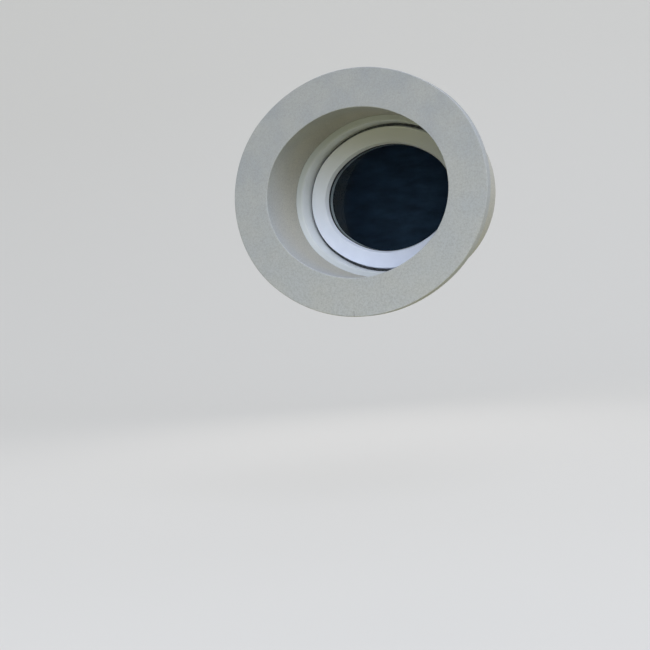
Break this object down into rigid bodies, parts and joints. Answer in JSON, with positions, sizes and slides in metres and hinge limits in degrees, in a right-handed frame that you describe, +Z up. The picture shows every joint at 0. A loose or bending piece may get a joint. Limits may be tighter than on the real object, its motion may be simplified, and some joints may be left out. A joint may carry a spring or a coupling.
{
  "type": "porthole window",
  "caption": "Oval porthole window: deep one-piece cast stone surround with a white inward-opening timber sash, double glazing, barrel hinges, edge lock and lever handle.",
  "frame": {"origin": "middle of the oval opening, in the plane of the flange's back face, which beds on the wall", "axes": "+X to the right seen from outside, along the oval's long axis, +Y into the room, square to the wall, +Z up"},
  "size_m": [1.1, 0.4505, 0.98],
  "materials": {
    "cast_stone": "fine-grained matt cast stone",
    "sealant": "stone-coloured silicone",
    "frame_paint": "satin white paint on laminated timber",
    "sash_paint": "satin white paint on laminated timber",
    "black_seal": "black extruded rubber",
    "edge_sealant": "black sealant",
    "clear_glass": "clear float glass",
    "dark_glass": "dark float glass",
    "spacer": "mill finish",
    "zinc": "bright zinc plate",
    "hinge_steel": "white powder coat",
    "pin_steel": "bright steel",
    "handle_coat": "white powder coat",
    "packing": "moulded plastic"
  },
  "bodies": {
    "surround": {"stone_surround": "cast_stone", "perimeter_seal": "sealant", "window_frame": "frame_paint", "frame_packers": "packing", "frame_screws": "zinc", "middle_seal": "black_seal", "lock_keeps": "zinc", "frame_hinges": "hinge_steel", "hinge_pins": "pin_steel"},
    "sash": {"sash_frame": "sash_paint", "sash_seal": "black_seal", "glazing_gasket_outer": "black_seal", "outer_pane": "clear_glass", "spacer_bar": "spacer", "edge_seal": "edge_sealant", "inner_pane": "dark_glass", "glazing_gasket_inner": "black_seal", "glazing_bead": "sash_paint", "bead_pins": "zinc", "setting_blocks": "packing", "sash_hinges": "hinge_steel", "faceplate": "zinc", "gearbox_case": "zinc", "handle_rosette": "handle_coat", "handle_screws": "zinc"},
    "handle": {"handle_lever": "handle_coat", "handle_spindle": "zinc", "spindle_hub": "zinc"},
    "lock": {"lock_rod": "zinc", "lock_cams": "zinc"}
  },
  "joints": [
    {"name": "sash_hinge", "type": "hinge", "parent": "surround", "child": "sash", "pos_m": [-0.405, 0.354, 0], "axis": [0, 0, 1], "range_deg": [0, 90]},
    {"name": "handle_turn", "type": "hinge", "parent": "sash", "child": "handle", "pos_m": [0.358, 0.38, 0], "axis": [0, 1, 0], "range_deg": [-90, 0]},
    {"name": "lock_slide", "type": "hinge", "parent": "sash", "child": "lock", "pos_m": [0.095, 0.331, 0], "axis": [0, 1, 0], "range_deg": [-3.98, 0.05]}
  ],
  "couplings": [
    {"joint": "lock_slide", "follows": "handle_turn", "ratio": 0.043636}
  ]
}
